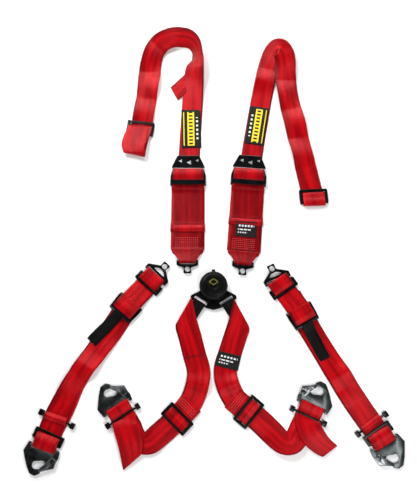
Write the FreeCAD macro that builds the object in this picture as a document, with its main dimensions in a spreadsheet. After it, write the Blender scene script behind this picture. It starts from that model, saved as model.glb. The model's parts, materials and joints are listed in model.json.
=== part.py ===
import FreeCAD, Part
import math
import os

import Sketcher

# Racing harness laid out flat: rotary buckle with two crotch straps, two lap belts and two shoulder belts.
# Every belt is modelled in its own local frame, lying on z = 0 and running along local Y, and then placed.

SIZES = {
    # webbing
    "web_thick": 1.4,
    "web_wide": 76.0,
    "web_slim": 50.0,
    "layer_gap": 0.3,
    # a webbing loop round a hardware bar
    "bar_radius": 2.5,
    "loop_inner": 2.8,
    "loop_outer": 4.3,
    "plate_thick": 3.0,
    # buckle
    "buckle_radius": 31.0,
    "base_thick": 3.0,
    "port_height": 5.0,
    "port_width": 22.0,
    "housing_thick": 7.0,
    "dial_radius": 30.0,
    "dial_thick": 9.0,
    "dial_gap": 0.3,
    "post_radius": 5.0,
    "pin_radius": 2.5,
    "pin_circle": 16.0,
    "pin_length": 11.5,
    "fit_gap": 0.05,
    "screw_radius": 2.0,
    "screw_circle": 26.0,
    # belt hardware
    "tongue_eye": 6.0,
    "tongue_ring": 9.0,
    "slide_wall": 6.0,
    "slide_bar": 5.0,
    "slide_length": 34.0,
    "slide_short": 22.0,
    "knob_reach": 36.0,
    "slide_height": 5.4,
    "side_gap": 1.5,
    "hook_seat": 8.0,
    "hook_bar": 20.0,
    "rivet_radius": 3.0,
    # the frame's offset: the layout's bounding box is centred on the origin
    "layout_shift": -47.3,
    "layout_side": -2.2,
}

doc = FreeCAD.newDocument("racing_harness")
sheet = doc.addObject("Spreadsheet::Sheet", "Sizes")
for row, (alias, number) in enumerate(SIZES.items(), start=1):
    sheet.set("A%d" % row, alias)
    sheet.set("B%d" % row, str(number))
    sheet.setAlias("B%d" % row, alias)
doc.recompute()

nodes = []
GATE_THICK = 2.5
Vec = FreeCAD.Vector
UP = Vec(0, 0, 1)


def size(alias):
    return float(sheet.get(alias))


def spot(x, y, z=0.0, turn=0.0):
    """A placement at a layout position, turned about Z by an angle in degrees."""
    corner = Vec(x + size("layout_side"), y + size("layout_shift"), z)
    return FreeCAD.Placement(corner, FreeCAD.Rotation(UP, turn))


def local(x, y, z, axis=None, angle=0.0):
    """A placement inside a belt's own frame."""
    return FreeCAD.Placement(Vec(x, y, z), FreeCAD.Rotation(axis or UP, angle))


def keep(part_object, label, placement=None):
    """Registers an object as a node of the assembly."""
    if placement is not None:
        part_object.Placement = placement.multiply(part_object.Placement)
    part_object.Label = label
    nodes.append(part_object)
    return part_object


# ---------------------------------------------------------------- primitives


def block(length, width, height, place):
    """A box whose sizes are sheet expressions, centred across X and Y on its placement."""
    solid = doc.addObject("Part::Box", "block")
    solid.setExpression("Length", str(length))
    solid.setExpression("Width", str(width))
    solid.setExpression("Height", str(height))
    doc.recompute([solid])
    shift = Vec(-solid.Length.Value / 2, -solid.Width.Value / 2, 0)
    solid.Placement = place.multiply(FreeCAD.Placement(shift, FreeCAD.Rotation()))
    return solid


def rod(radius, length, place):
    """A cylinder along its placement's Z axis."""
    solid = doc.addObject("Part::Cylinder", "rod")
    solid.setExpression("Radius", str(radius))
    solid.setExpression("Height", str(length))
    solid.Placement = place
    return solid


def cross_rod(radius, length, y, z):
    """A cylinder along X, centred on the belt's centre line."""
    return rod(radius, length, local(-length / 2, y, z, Vec(0, 1, 0), 90))


def fuse(parts):
    joined = doc.addObject("Part::MultiFuse", "joined")
    joined.Shapes = parts
    joined.Refine = True
    return joined


def cut(base, tools):
    tool = tools[0] if len(tools) == 1 else fuse(tools)
    result = doc.addObject("Part::Cut", "cut")
    result.Base = base
    result.Tool = tool
    return result


# ------------------------------------------------------------- sketched plates


def rounded_edges(points, radius):
    """Line and arc geometry round a polygon whose corners all carry one radius."""
    edges = []
    count = len(points)
    starts = []
    for index in range(count):
        before = Vec(*points[index - 1], 0)
        corner = Vec(*points[index], 0)
        after = Vec(*points[(index + 1) % count], 0)
        back = (before - corner).normalize()
        ahead = (after - corner).normalize()
        half = back.getAngle(ahead) / 2
        reach = radius / math.tan(half)
        reach = min(reach, 0.45 * (before - corner).Length, 0.45 * (after - corner).Length)
        middle = corner + (back + ahead).normalize() * (reach / math.cos(half) - reach * math.tan(half))
        starts.append((corner + back * reach, middle, corner + ahead * reach))
    for index in range(count):
        first, middle, last = starts[index]
        following = starts[(index + 1) % count][0]
        edges.append(Part.Arc(first, middle, last))
        edges.append(Part.LineSegment(last, following))
    return edges


def plane_of(body):
    for feature in body.Origin.OriginFeatures:
        if feature.Role == "XY_Plane":
            return feature
    raise RuntimeError("no XY plane")


def plate(outline, corner, thick, holes=(), windows=()):
    """A PartDesign plate: a rounded outline padded upwards, with round holes and rounded windows."""
    body = doc.addObject("PartDesign::Body", "plate")
    sketch = body.newObject("Sketcher::SketchObject", "outline")
    sketch.AttachmentSupport = (plane_of(body), [""])
    sketch.MapMode = "FlatFace"
    sketch.addGeometry(rounded_edges(outline, corner), False)
    for x, y, radius in holes:
        sketch.addGeometry(Part.Circle(Vec(x, y, 0), UP, radius), False)
    for window, radius in windows:
        sketch.addGeometry(rounded_edges(window, radius), False)
    pad = body.newObject("PartDesign::Pad", "pad")
    pad.Profile = sketch
    pad.setExpression("Length", str(thick))
    body.Tip = pad
    return body


def polar(radius, degrees):
    angle = math.radians(degrees)
    return (radius * math.cos(angle), radius * math.sin(angle))


def revolve(profile):
    """A PartDesign revolution of a closed (radius, height) profile about Z."""
    body = doc.addObject("PartDesign::Body", "turned")
    sketch = body.newObject("Sketcher::SketchObject", "profile")
    support = [f for f in body.Origin.OriginFeatures if f.Role == "XZ_Plane"][0]
    sketch.AttachmentSupport = (support, [""])
    sketch.MapMode = "FlatFace"
    corners = [Vec(radius, height, 0) for radius, height in profile]
    for first, second in zip(corners, corners[1:] + corners[:1]):
        sketch.addGeometry(Part.LineSegment(first, second), False)
    turned = body.newObject("PartDesign::Revolution", "turned")
    turned.Profile = sketch
    turned.ReferenceAxis = (sketch, ["V_Axis"])
    turned.Angle = 360
    body.Tip = turned
    return body


# -------------------------------------------------------------------- webbing


def ribbon_shape(points, width, low, high):
    """A flat band of webbing along a smooth centre line through hand-set points."""
    line = Part.BSplineCurve()
    line.interpolate([Vec(x, y, 0) for x, y in points])
    steps = 4 * (len(points) - 1)
    sides = ([], [])
    for step in range(steps + 1):
        along = line.FirstParameter + (line.LastParameter - line.FirstParameter) * step / steps
        centre = line.value(along)
        normal = line.tangent(along)[0].cross(UP).normalize() * (width / 2)
        sides[0].append(centre + normal)
        sides[1].append(centre - normal)
    edges = []
    for side in sides:
        curve = Part.BSplineCurve()
        curve.interpolate(side)
        edges.append(curve.toShape())
    edges.append(Part.makeLine(sides[0][0], sides[1][0]))
    edges.append(Part.makeLine(sides[0][-1], sides[1][-1]))
    face = Part.Face(Part.Wire(Part.__sortEdges__(edges)))
    face.translate(Vec(0, 0, low))
    return face.extrude(Vec(0, 0, high - low))


def band_shape(points, low, high):
    """A flat piece of webbing with straight edges."""
    corners = [Vec(x, y, low) for x, y in points]
    return Part.Face(Part.makePolygon(corners + corners[:1])).extrude(Vec(0, 0, high - low))


def loop_shape(x, y, z, turn, width):
    """The tube that webbing makes round a hardware bar: local X is the bar's axis, (x, y, z) its centre."""
    axis = FreeCAD.Rotation(UP, turn).multVec(Vec(1, 0, 0))
    start = Vec(x, y, z) - axis * (width / 2)
    tube = Part.makeCylinder(size("loop_outer"), width, start, axis)
    return tube.cut(Part.makeCylinder(size("loop_inner"), width, start, axis))


def webbing(label, shapes, placement):
    """One webbing node made of touching flat bands and loops."""
    solid = shapes[0]
    if len(shapes) > 1:
        solid = shapes[0].multiFuse(shapes[1:]).removeSplitter()
    feature = doc.addObject("Part::Feature", "webbing")
    feature.Shape = solid.Solids[0] if len(solid.Solids) == 1 else solid
    return keep(feature, label, placement)


# --------------------------------------------------------------- belt hardware


def tongue(label, place, half_bar, reach, window):
    """A plate tongue: a bar for the webbing loop at local y = 0 and an eye at local y = reach."""
    ring = size("tongue_ring")
    clear = size("loop_outer") + 0.7
    outline = [
        (-half_bar, -3.5), (-half_bar + 5.5, -3.5), (-half_bar + 5.5, clear), (half_bar - 5.5, clear),
        (half_bar - 5.5, -3.5), (half_bar, -3.5), (half_bar, clear + 3.5), (ring - 1.5, reach - 4),
        (ring, reach + ring), (-ring, reach + ring), (-ring + 1.5, reach - 4), (-half_bar, clear + 3.5),
    ]
    body = plate(outline, 2.2, "Sizes.plate_thick", [(0, reach, size("tongue_eye"))], window)
    body.Placement = local(0, 0, size("loop_outer") - size("plate_thick") / 2)
    bar = cross_rod(size("bar_radius"), 2 * half_bar - 4, 0, size("loop_outer"))
    return keep(fuse([body, bar]), label, place)


def slide_frame(label, place, width, floor, long_side):
    """A three-bar slide: two side rails standing on local z = 0 and three bars over the webbing."""
    wall = size("slide_wall")
    length = size(long_side)
    inner = width + 2 * size("side_gap")
    rails = []
    for side in (-1, 1):
        rails.append(block("Sizes.slide_wall", "Sizes." + long_side, "Sizes.slide_height",
                           local(side * (inner + wall) / 2, 0, 0)))
    bars = []
    for y in (-length / 2 + size("slide_bar") / 2, 0, length / 2 - size("slide_bar") / 2):
        height = "Sizes.slide_height - %g" % floor
        bars.append(block(inner + wall, "Sizes.slide_bar", height, local(0, y, floor)))
    rounded = doc.addObject("Part::Fillet", "rounded")
    rounded.Base = fuse(rails + bars)
    doc.recompute()
    edges = []
    for number, edge in enumerate(rounded.Base.Shape.Edges, start=1):
        centre = edge.CenterOfMass
        upright = abs(edge.BoundBox.ZLength - size("slide_height")) < 1e-3
        if upright and abs(abs(centre.x) - (inner / 2 + wall)) < 1e-3:
            edges.append((number, 2.4, 2.4))
    rounded.Edges = edges
    return keep(rounded, label, place)


def knob_keeper(label, place, floor):
    """A single-bar keeper with a square knob on each side of the webbing."""
    reach = size("knob_reach")
    parts = []
    for side in (-1, 1):
        parts.append(block(9, 12, 8.4, local(side * reach, 0, 0)))
    parts.append(block(2 * reach - 5, 4.4, "Sizes.slide_height - %g" % floor, local(0, 0, floor)))
    return keep(fuse(parts), label, place)


def snap_hook(name, place, hand):
    """A snap hook lying flat: its webbing bar near the back, open seat at y = 54, gate on the hand side."""
    seat = size("hook_seat")
    low = size("loop_outer") - size("plate_thick") / 2
    behind = size("hook_bar") - 5
    clear = size("hook_bar") + size("loop_outer") + 0.7
    outline = [
        (-34, behind), (-27, behind), (-27, clear), (27, clear), (27, behind), (34, behind), (36, 28),
        (33, 44), (14, 44), (11, 42), (-3 + seat + 1.5, 42), (-3, 54 - seat), (-3 - seat, 54),
        (-3, 54 + seat), (4.2, 60), (10.5, 61), (11, 67), (3, 74), (-9, 73), (-21, 60), (-38, 36),
    ]
    outline = [(hand * x, y) for x, y in outline]
    body = plate(outline, 3.0, "Sizes.plate_thick", [(hand * 28, 37, size("rivet_radius"))])
    seat_hole = rod("Sizes.hook_seat", 2 * size("plate_thick"), local(-3 * hand, 54, -1))
    hollow = cut(body, [seat_hole])
    hollow.Placement = local(0, 0, low)
    bar = cross_rod(size("bar_radius"), 58, size("hook_bar"), size("loop_outer"))
    gate_low = low + size("plate_thick") + size("layer_gap")
    shank_length = size("plate_thick") + size("layer_gap") + GATE_THICK + 0.6
    shank = rod("Sizes.rivet_radius", shank_length, local(hand * 28, 37, low))
    head = rod("Sizes.rivet_radius + 2.2", 1.4, local(hand * 28, 37, gate_low + GATE_THICK + 0.3))
    keep(fuse([hollow, bar, shank, head]), "hook_" + name, place)
    gate_outline = [(22, 30), (35, 33), (35, 49), (22, 56), (7.5, 66), (6.5, 58.5), (14, 47)]
    gate_outline = [(hand * x, y) for x, y in gate_outline]
    gate = plate(gate_outline, 1.6, GATE_THICK, [(hand * 28, 37, size("rivet_radius") + size("fit_gap"))])
    keep(gate, "gate_" + name, place.multiply(local(0, 0, gate_low)))


# --------------------------------------------------------------------- buckle

BUCKLE = (1.0, -80.0)
PORTS = (128.0, 52.0, 196.0, -16.0)
here = spot(*BUCKLE)
bottom = size("base_thick")
floor_plate = 2 * size("base_thick")
ceiling = floor_plate + size("port_height")
top = ceiling + size("housing_thick")
screws = [polar(size("screw_circle"), angle) for angle in (90, 162, 270, 18)]
pins = [polar(size("pin_circle"), angle) for angle in PORTS]


def buckle_base():
    disc = rod("Sizes.buckle_radius", "Sizes.base_thick", local(0, 0, 0))
    holes = [rod("Sizes.screw_radius + Sizes.fit_gap", 9, local(x, y, -3)) for x, y in screws]
    keep(cut(disc, holes), "buckle_base", here)


def crotch_plate():
    """The webbing plate under the buckle: a round hub and two splayed wings, each with a webbing slot."""
    wings = [(-30, 5), (-29, -9), (-50, -20), (-50.5, -26.9), (-16.2, -47.8), (0, -52), (16.2, -47.8),
             (50.5, -26.9), (50, -20), (29, -9), (30, 5), (21, 21), (10, 28.9), (-10, 28.9), (-21, 21)]
    windows = []
    for side in (-1, 1):
        slot = [(side * 13, -36.5), (side * 40, -20), (side * 43.5, -26), (side * 16.5, -42.5)]
        windows.append((slot, 1.2))
    holes = [(x, y, size("screw_radius") + size("fit_gap")) for x, y in screws]
    body = plate(wings, 1.6, "Sizes.base_thick", holes, windows)
    keep(body, "crotch_plate", here.multiply(local(0, 0, bottom)))


def port_spacers():
    """Four wall sectors that leave the tongue ports open between them."""
    disc = rod("Sizes.buckle_radius", "Sizes.port_height", local(0, 0, 0))
    cutters = [rod(9.5, 20, local(0, 0, -5))]
    for angle in PORTS:
        cutters.append(block(60, "Sizes.port_width", 20, local(*polar(30, angle), -5, UP, angle)))
    cutters += [rod("Sizes.screw_radius + Sizes.fit_gap", 20, local(x, y, -5)) for x, y in screws]
    keep(cut(disc, cutters), "port_spacers", here.multiply(local(0, 0, floor_plate)))


def housing():
    """The housing's top, with the dial's pivot post standing in a spring pocket."""
    disc = rod("Sizes.buckle_radius", "Sizes.housing_thick", local(0, 0, 0))
    holes = [rod(9.0, 20, local(0, 0, 3.5))]
    holes += [rod("Sizes.pin_radius + Sizes.fit_gap", 20, local(x, y, -5)) for x, y in pins]
    holes += [rod("Sizes.screw_radius + Sizes.fit_gap", 20, local(x, y, -5)) for x, y in screws]
    post_length = top + size("dial_gap") + size("dial_thick") - ceiling - 0.4
    post = rod("Sizes.post_radius", post_length, local(0, 0, 0))
    keep(fuse([cut(disc, holes), post]), "buckle_housing", here.multiply(local(0, 0, ceiling)))


def fasteners():
    length = top - 1.6
    parts = [rod("Sizes.screw_radius", length, local(x, y, 0.4)) for x, y in screws]
    keep(fuse(parts), "buckle_screws", here)


def latch_pins():
    """The four locking pins, one across each tongue port, which the dial lifts together."""
    parts = [rod("Sizes.pin_radius", "Sizes.pin_length", local(x, y, 0)) for x, y in pins]
    keep(fuse(parts), "latch_pins", here.multiply(local(0, 0, floor_plate + 0.3)))


def release_dial():
    """The turning knob: a stepped disc with a bevelled rim, a pin groove beneath and a pointer."""
    radius = size("dial_radius")
    thick = size("dial_thick")
    bore = size("post_radius") + size("fit_gap")
    groove = (size("pin_circle") - size("pin_radius") - 1, size("pin_circle") + size("pin_radius") + 1)
    profile = [(bore, 0), (groove[0], 0), (groove[0], 5.4), (groove[1], 5.4), (groove[1], 0), (radius, 0),
               (radius, thick - 3.2), (radius - 2.8, thick - 0.8), (radius - 6.0, thick - 0.8),
               (radius - 7.0, thick), (bore, thick)]
    knob = revolve(profile)
    pointer = block(7, 6, "Sizes.dial_thick - 2", local(0, radius + 1.2, 0))
    lift = top + size("dial_gap")
    cap = doc.addObject("Part::Cone", "cap")
    cap.setExpression("Radius1", "Sizes.post_radius + 6")
    cap.setExpression("Radius2", "Sizes.post_radius + 4.6")
    cap.Height = 1.2
    cap.Placement = local(0, 0, thick)
    keep(fuse([knob, pointer, cap]), "release_dial", here.multiply(local(0, 0, lift)))


def return_spring():
    """The dial's torsion spring, in its pocket round the post."""
    coil = doc.addObject("Part::Torus", "coil")
    coil.Radius1 = 7.0
    coil.Radius2 = 1.2
    keep(coil, "return_spring", here.multiply(local(0, 0, ceiling + 5.0)))


for build in (buckle_base, crotch_plate, port_spacers, housing, fasteners, latch_pins, release_dial,
              return_spring):
    build()

# -------------------------------------------------------------- shared webbing

WEB = size("web_thick")
WIDE = size("web_wide")
SLIM = size("web_slim")
OUTER = size("loop_outer")
LAYER = WEB + size("layer_gap")
DOUBLE = LAYER + WEB
GROUND = spot(0, 0)


def heading(turn):
    """The direction of a turned frame's local Y."""
    angle = math.radians(turn)
    return Vec(-math.sin(angle), math.cos(angle), 0)


def along(point, turn, distance):
    """A layout point moved along a heading."""
    moved = Vec(point[0], point[1], 0) + heading(turn) * distance
    return (moved.x, moved.y)


def patch(label, length, width, low, place):
    """A flat sewn-on label."""
    return keep(block(length, width, 0.8, local(0, 0, low)), label, place)


def adjuster(name, place, back, front, length):
    """A tilt-lock adjuster: hinge bar at local y = 0, flared frame, floating lock bar in its window."""
    low = OUTER - size("plate_thick") / 2
    clear = OUTER + 0.7
    inner = back / 2 + 0.5
    outer = inner + 5.5
    tip = front / 2
    outline = [(-outer, -3.5), (-inner, -3.5), (-inner, clear), (inner, clear), (inner, -3.5), (outer, -3.5),
               (outer, 0.3 * length), (tip, length), (-tip, length), (-outer, 0.3 * length)]
    waist = 0.5 * (outer + tip) - 7
    window = [(-waist - 2, 0.34 * length), (waist + 2, 0.34 * length), (waist - 1, 0.72 * length),
              (-waist + 1, 0.72 * length)]
    body = plate(outline, 2.0, "Sizes.plate_thick", (), [(window, 1.5)])
    body.Placement = local(0, 0, low)
    bar = cross_rod(size("bar_radius"), 2 * inner + 7, 0, OUTER)
    lip = cross_rod(size("bar_radius") - 0.3, 2 * tip - 4, length - 1.5, low + 3)
    keep(fuse([body, bar, lip]), "adjuster_" + name, place)
    lock = cross_rod(size("bar_radius"), 2 * waist - 2.4, 0.53 * length, OUTER)
    keep(lock, "lock_bar_" + name, place)


# --------------------------------------------------------------- crotch straps


def crotch_strap(name, side, path, fold, slide_at, slide_turn, run, elbow, rise, hook_turn, hand, tail):
    """One crotch strap, from its sleeve in the buckle's plate to its snap hook and free tail."""
    loop_at = Vec(BUCKLE[0] + side * 31.15, BUCKLE[1] - 36.1, size("base_thick") * 1.5)
    bar_turn = side * 31.4
    down = heading(180 + bar_turn)
    across = Vec(-down.y, down.x, 0)
    ends = [loop_at + down * 2.9, loop_at + down * 34]
    half = across * 13.5
    corners = [ends[0] + half, ends[1] + half, ends[1] - half, ends[0] - half]
    band = band_shape([(corner.x, corner.y) for corner in corners], LAYER, DOUBLE)
    webbing("crotch_sleeve_" + name, [band, loop_shape(*loop_at, bar_turn, 27.0)], GROUND)
    upper = [ribbon_shape(path, SLIM, 0, WEB), band_shape(fold, WEB, 2 * WEB)]
    webbing("crotch_strap_upper_" + name, upper, GROUND)
    slide_frame("crotch_slide_" + name, spot(*slide_at, 0, slide_turn), SLIM, DOUBLE + 0.3, "slide_length")
    hook_at = rise[-1]
    bar_at = along(hook_at, hook_turn, size("hook_bar"))
    shapes = [ribbon_shape(run, SLIM, LAYER, DOUBLE), band_shape(elbow, 0, DOUBLE),
              ribbon_shape(rise + [bar_at], SLIM, 0, WEB), loop_shape(*bar_at, OUTER, hook_turn, SLIM),
              band_shape(tail, WEB, 2 * WEB)]
    webbing("crotch_strap_lower_" + name, shapes, GROUND)
    keeper_at = along(hook_at, hook_turn, -3)
    knob_keeper("crotch_keeper_" + name, spot(*keeper_at, 0, hook_turn), WEB + 0.3)
    snap_hook("crotch_" + name, spot(*hook_at, 0, hook_turn), hand)


crotch_strap(
    "left", -1,
    path=[(-40, -133), (-55, -175), (-44, -225), (-33, -268), (-44, -314)],
    fold=[(-66, -299), (-15, -320), (-25, -342), (-58, -334)],
    slide_at=(-75, -360), slide_turn=-44,
    run=[(-68, -353), (-98, -381), (-128, -408)],
    elbow=[(-111, -427), (-150, -437), (-151, -405), (-144, -389)],
    rise=[(-143, -420), (-166, -388), (-190, -352)],
    hook_turn=33, hand=1,
    tail=[(-196, -388), (-198, -404), (-191, -430), (-184, -466), (-153, -433), (-154, -385), (-168, -366)],
)
crotch_strap(
    "right", 1,
    path=[(41, -133), (54, -170), (40, -212), (23, -262), (40, -308)],
    fold=[(2, -306), (60, -290), (66, -306), (32, -328)],
    slide_at=(74, -346), slide_turn=50,
    run=[(67, -340), (104, -370), (140, -400)],
    elbow=[(124, -419), (157, -437), (176, -433), (166, -393), (156, -381)],
    rise=[(157, -424), (178, -391), (199, -352)],
    hook_turn=-25, hand=-1,
    tail=[(197, -411), (203, -394), (236, -400), (246, -406), (255, -436), (221, -433), (211, -427)],
)

# ------------------------------------------------------------------- lap belts


def lap_belt(name, tongue_at, tongue_turn, joint_at, joint_turn, lower, hook_turn, hand, knobs_back):
    """One lap belt, from its tongue through the tilt-lock adjuster to its snap hook."""
    window = [([(-19, 9.5), (19, 9.5), (5.5, 18), (-5.5, 18)], 2.0)]
    tongue("tongue_lap_" + name, spot(*tongue_at, 0, tongue_turn), 31, 28, window)
    upper = [ribbon_shape([tongue_at, joint_at], SLIM, 0, WEB),
             loop_shape(*tongue_at, OUTER, tongue_turn, SLIM), loop_shape(*joint_at, OUTER, joint_turn, SLIM)]
    webbing("lap_strap_upper_" + name, upper, GROUND)
    span = Vec(joint_at[0] - tongue_at[0], joint_at[1] - tongue_at[1], 0)
    turn = math.degrees(math.atan2(-span.x, span.y))
    keeper_at = along(tongue_at, turn, 22.5)
    slide_frame("lap_keeper_" + name, spot(*keeper_at, 0, turn), SLIM, WEB + 0.3, "slide_short")
    adjuster("lap_" + name, spot(*joint_at, 0, joint_turn), SLIM, 58, 38)
    hook_at = lower[-1]
    bar_at = along(hook_at, hook_turn, size("hook_bar"))
    run = [ribbon_shape(lower + [bar_at], SLIM, 0, WEB), loop_shape(*bar_at, OUTER, hook_turn, SLIM)]
    webbing("lap_strap_lower_" + name, run, GROUND)
    pull = block(30, 66, "Sizes.web_thick", local(0, 75, LAYER))
    keep(pull, "pull_strap_" + name, spot(*joint_at, 0, joint_turn))
    back = math.degrees(math.atan2(lower[-2][0] - lower[-1][0], lower[-1][1] - lower[-2][1]))
    slide_at = along(hook_at, back, -3.5)
    slide_frame("lap_slide_" + name, spot(*slide_at, 0, back), SLIM, WEB + 0.3, "slide_short")
    knob_keeper("lap_knobs_" + name, spot(*along(hook_at, back, knobs_back), 0, back), WEB + 0.3)
    snap_hook("lap_" + name, spot(*hook_at, 0, hook_turn), hand)


lap_belt("left", (-127, -55), -44, (-180, -114), 140,
         lower=[(-188, -124), (-224, -180), (-286, -280), (-316, -338), (-342, -400)],
         hook_turn=161, hand=-1, knobs_back=-43)
lap_belt("right", (143, -65), 25, (187, -130), 209,
         lower=[(192, -140), (238, -220), (283, -298), (314, -348), (343, -392)],
         hook_turn=210, hand=1, knobs_back=-26)

# -------------------------------------------------------------- shoulder belts


def shoulder_belt(name, tongue_at, turn, reach, fold_at, straps, slide_at, slide_turn, label_at, label_turn):
    """One shoulder belt: tongue, wide strap, tilt-lock adjuster, slim strap and its slide."""
    place = spot(*tongue_at, 0, turn)
    tongue("tongue_shoulder_" + name, spot(*tongue_at, 0, turn + 180), 24, 18, ())
    half = WIDE / 2
    neck = half - 3.5
    outline = [(-18, 0), (18, 0), (half, 26), (half, reach - 13), (neck, reach - 7), (neck, reach),
               (-neck, reach), (-neck, reach - 7), (-half, reach - 13), (-half, 26)]
    low, high = fold_at
    fold = [(-half, low), (half, low), (half + 2, high), (-half, high)]
    shapes = [band_shape(outline, 0, WEB), loop_shape(0, 0, OUTER, 0, 36),
              loop_shape(0, reach, OUTER, 0, WIDE - 6), band_shape(fold, WEB, 2 * WEB)]
    webbing("shoulder_strap_wide_" + name, shapes, place)
    adjuster("shoulder_" + name, place.multiply(local(0, reach, 0)), WIDE - 6, 53, 70)
    webbing("shoulder_strap_slim_" + name, straps, GROUND)
    slide_frame("shoulder_slide_" + name, spot(*slide_at, 0, slide_turn), SLIM, DOUBLE + 0.3, "slide_length")
    patch("shoulder_label_" + name, 46, 100, WEB, spot(*label_at, 0, label_turn))


left_slim = [
    ribbon_shape([(-57, 176), (-54, 260), (-49, 360), (-46, 450), (-52, 498), (-75, 532), (-102, 540),
                  (-130, 528), (-149, 495), (-156, 440), (-165, 350), (-175, 270), (-179, 234)],
                 SLIM, 0, WEB),
    band_shape([(-55, 436), (-86, 440), (-106, 412), (-84, 375), (-55, 400)], WEB, 2 * WEB),
]
shoulder_belt("left", (-57, -23), 0, 183, (72, 90), left_slim, (-172, 303), -7, (-51, 303), 1.5)
right_slim = [
    ribbon_shape([(87, 182), (94, 240), (115, 365), (134, 450), (152, 515)], SLIM, 0, WEB),
    ribbon_shape([(180, 520), (178, 450), (190, 360), (212, 270), (228, 180), (232, 106)],
                 SLIM, LAYER, DOUBLE),
    band_shape([(130, 506), (148, 531), (165, 540), (196, 535), (205, 516), (170, 508)], 0, DOUBLE),
]
shoulder_belt("right", (67, -27), -4.5, 188, (58, 104), right_slim, (232, 131), 3, (105, 311), -9.6)
patch("care_patch", 48, 36, 2 * WEB, spot(75, 52, 0, -4.5))
patch("crotch_label", 50, 32, WEB, spot(32, -241, 0, -14))

# ---------------------------------------------------------------- check, write

doc.recompute()
for feature in doc.Objects:
    if "Invalid" in feature.State or "Error" in feature.State:
        raise SystemExit("failed feature: %s %s %s" % (feature.Name, feature.Label, feature.State))
for node in nodes:
    if node.Shape.isNull() or not node.Shape.isValid() or not node.Shape.Solids:
        raise SystemExit("bad shape: " + node.Label)
if len({node.Label for node in nodes}) != len(nodes):
    raise SystemExit("two nodes share a label")

os.makedirs("parts", exist_ok=True)
for node in nodes:
    node.Shape.exportStep("parts/%s.step" % node.Label)

whole = FreeCAD.BoundBox()
for node in nodes:
    whole.add(node.Shape.BoundBox)
    solids = len(node.Shape.Solids)
    top_z = node.Shape.BoundBox.ZMax
    print("%-28s solids %d volume %9.1f top %6.2f" % (node.Label, solids, node.Shape.Volume, top_z))
print("nodes", len(nodes))
limits = (whole.XMin, whole.YMin, whole.ZMin, whole.XMax, whole.YMax, whole.ZMax)
print("box", [round(value, 2) for value in limits])
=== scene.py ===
import json
import math
import random

import bmesh
import bpy
from mathutils import Matrix, Vector


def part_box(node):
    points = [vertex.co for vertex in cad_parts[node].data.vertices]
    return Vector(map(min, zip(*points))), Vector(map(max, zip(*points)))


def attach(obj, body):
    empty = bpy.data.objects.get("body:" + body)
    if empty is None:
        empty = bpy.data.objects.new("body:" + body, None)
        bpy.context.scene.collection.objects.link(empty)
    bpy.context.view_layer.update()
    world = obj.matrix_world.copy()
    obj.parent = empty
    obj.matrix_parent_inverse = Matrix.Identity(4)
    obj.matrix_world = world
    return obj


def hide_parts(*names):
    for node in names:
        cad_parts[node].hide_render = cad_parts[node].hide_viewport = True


# Looks of a racing harness laid flat: red webbing, black hardware, zinc snap hooks and a rotary buckle.
# Layout points are in millimetres, with the buckle's centre at LAYOUT_BUCKLE; place() puts them in
# the frame. A ribbon's point is (x, y, z), then its twist in degrees and its share of the full width.

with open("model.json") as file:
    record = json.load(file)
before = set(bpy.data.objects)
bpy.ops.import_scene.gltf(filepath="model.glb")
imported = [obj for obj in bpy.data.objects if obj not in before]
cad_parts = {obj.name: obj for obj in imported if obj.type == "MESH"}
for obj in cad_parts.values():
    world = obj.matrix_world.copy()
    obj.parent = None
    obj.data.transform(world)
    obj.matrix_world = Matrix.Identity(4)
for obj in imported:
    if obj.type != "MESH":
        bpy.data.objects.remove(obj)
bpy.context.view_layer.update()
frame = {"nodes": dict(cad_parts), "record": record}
random.seed(7)

MM = 0.001
LAYOUT_BUCKLE = (1.0, -80.0)
# widths of the two kinds of webbing, their thickness and the depth of the selvedge's point
SLIM = 50.0
WIDE = 76.0
THICK = 1.25
SELVEDGE = 0.35
# a turn round a bar: the bar's height, the turn's radius and how many points it has
BAR_Z = 4.3
LOOP = 3.55
TURN_POINTS = 5
# a snap hook's bar from its strap's end, and the length over which a strap's waves grow and fade
HOOK_BAR = 20.0
FADE = 40.0
# a wide strap's share of its width at the tongue and at the adjuster, and where it is full again
NEAR_SCALE = 0.47
FAR_SCALE = 0.92
WIDE_FROM = 29.0
# broken edges of the hardware, and the radius of sewing thread
EDGE = 0.45
THREAD_RADIUS = 0.42
# spacing of the weave, in metres: ribs, pick lines along and across the band, and tighter warp
RIB_PITCH = 0.0016
PICK_PITCH = 0.0022
PICK_SLANT = 0.0032
WARP_PITCH = 0.0125

low_corner, high_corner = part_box("buckle_base")
ORIGIN = Vector(((low_corner[0] + high_corner[0]) / 2 - LAYOUT_BUCKLE[0] * MM,
                 (low_corner[1] + high_corner[1]) / 2 - LAYOUT_BUCKLE[1] * MM, 0.0))


def place(x, y, z=0.0):
    """A layout point, in millimetres, as a point of the frame in metres."""
    return ORIGIN + Vector((x, y, z)) * MM


def heading(turn):
    """The direction of local Y in a frame turned about Z by an angle in degrees."""
    angle = math.radians(turn)
    return Vector((-math.sin(angle), math.cos(angle), 0.0))


# ------------------------------------------------------------------ materials


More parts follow.
